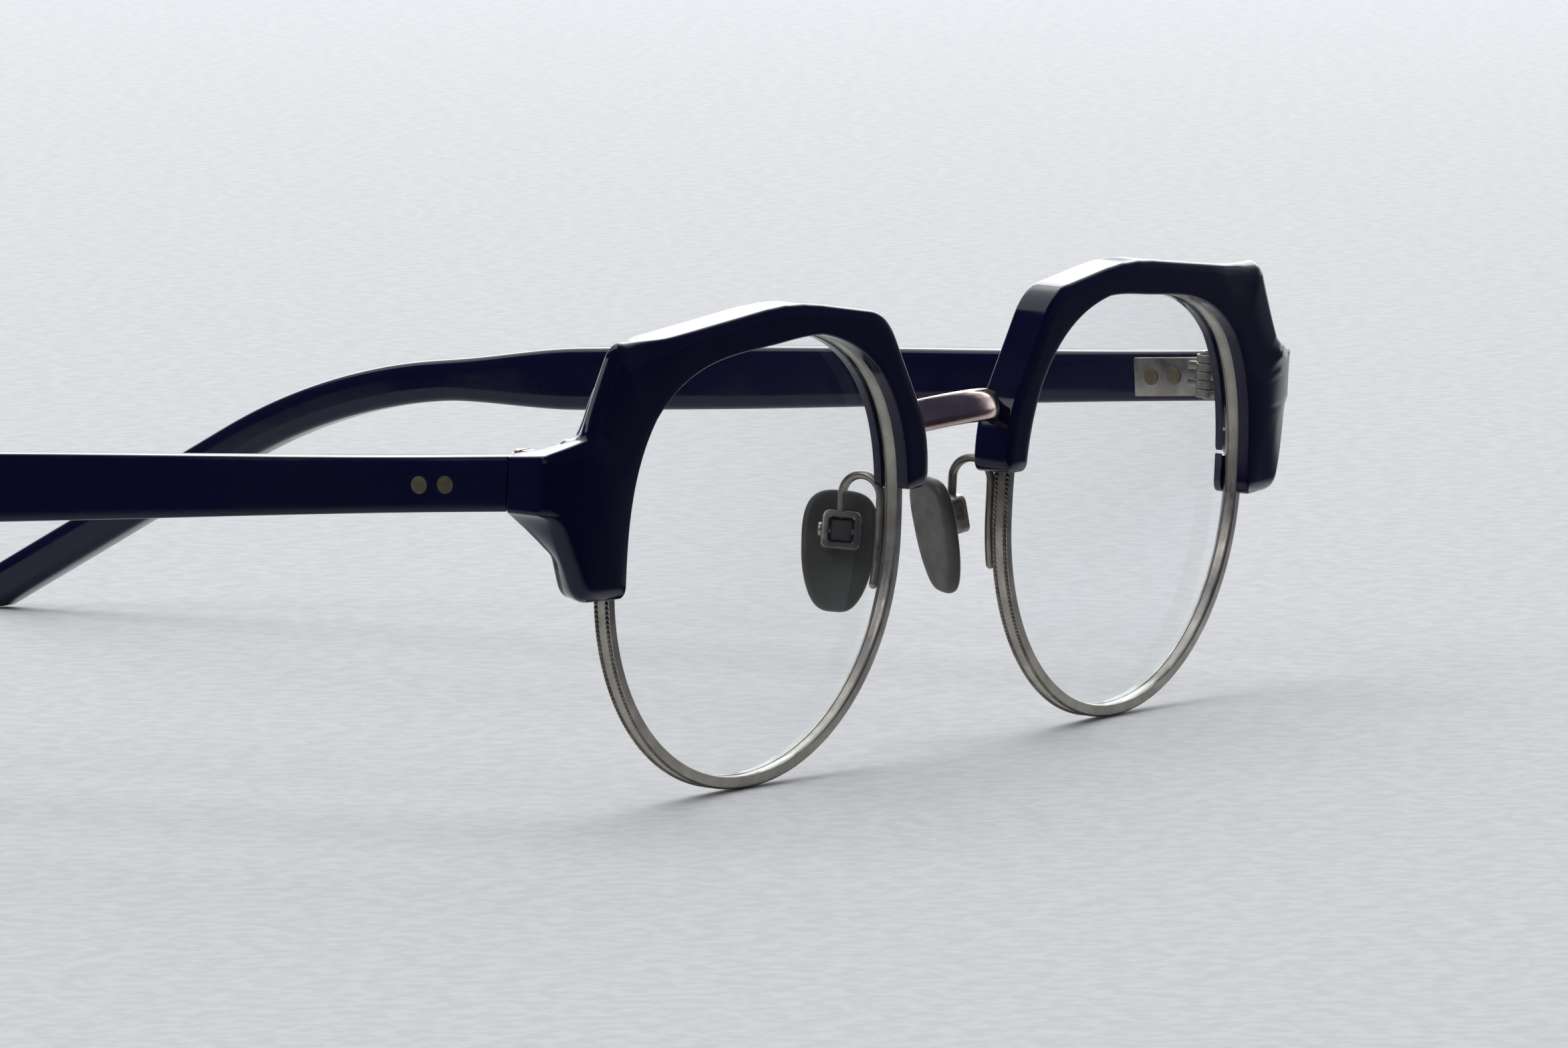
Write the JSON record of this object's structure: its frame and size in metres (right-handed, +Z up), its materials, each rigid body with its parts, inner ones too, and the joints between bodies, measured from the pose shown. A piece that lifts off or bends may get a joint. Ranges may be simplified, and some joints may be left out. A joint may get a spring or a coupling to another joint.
{
  "type": "eyeglasses",
  "caption": "Browline eyeglasses: black acetate brows and folding temples on full metal eyewires, with clear lenses, a metal bridge and rocking nose pads.",
  "frame": {"origin": "on the table, under the middle of the frame with both temples open", "axes": "+X to the wearer's left, +Y back along the temples, +Z up"},
  "size_m": [0.1552, 0.1579, 0.0439],
  "materials": {
    "acetate": "polished black cellulose acetate",
    "pewter": "matte antique silver plating on metal",
    "steel": "satin metal, slightly warm",
    "pad": "smooth dark grey nose pads",
    "lens": "clear plastic lens with a faint coating"
  },
  "bodies": {
    "front": {"bridge": "pewter", "lens_left": "lens", "lens_right": "lens", "eyewire_left": "pewter", "eyewire_right": "pewter", "closing_block_left": "pewter", "closing_block_right": "pewter", "rim_screw_left": "steel", "rim_screw_right": "steel", "brow_left": "acetate", "brow_right": "acetate", "brow_screws_left": "steel", "brow_screws_right": "steel", "pad_arm_left": "pewter", "pad_arm_right": "pewter", "pad_screw_left": "steel", "pad_screw_right": "steel", "front_hinge_left": "steel", "front_hinge_right": "steel", "hinge_screw_left": "steel", "hinge_screw_right": "steel"},
    "temple_left": {"temple_left": "acetate", "temple_hinge_left": "steel", "temple_core_left": "steel", "rivet_pins_left": "steel"},
    "temple_right": {"temple_right": "acetate", "temple_hinge_right": "steel", "temple_core_right": "steel", "rivet_pins_right": "steel"},
    "pad_left": {"nose_pad_left": "pad"},
    "pad_right": {"nose_pad_right": "pad"}
  },
  "joints": [
    {"name": "temple_left_fold", "type": "hinge", "parent": "front", "child": "temple_left", "pos_m": [0.0663, -0.06872, 0.03017], "axis": [0, -0.0506, 0.9987], "range_deg": [0, 92]},
    {"name": "temple_right_fold", "type": "hinge", "parent": "front", "child": "temple_right", "pos_m": [-0.0663, -0.06872, 0.03017], "axis": [0, 0.0506, -0.9987], "range_deg": [0, 84]},
    {"name": "nose_pad_left_rock", "type": "hinge", "parent": "front", "child": "pad_left", "pos_m": [0.01072, -0.07001, 0.0211], "axis": [0.5181, 0.85, 0.0955], "range_deg": [-8, 8]},
    {"name": "nose_pad_right_rock", "type": "hinge", "parent": "front", "child": "pad_right", "pos_m": [-0.01072, -0.07001, 0.0211], "axis": [0.5181, -0.85, -0.0955], "range_deg": [-8, 8]}
  ]
}
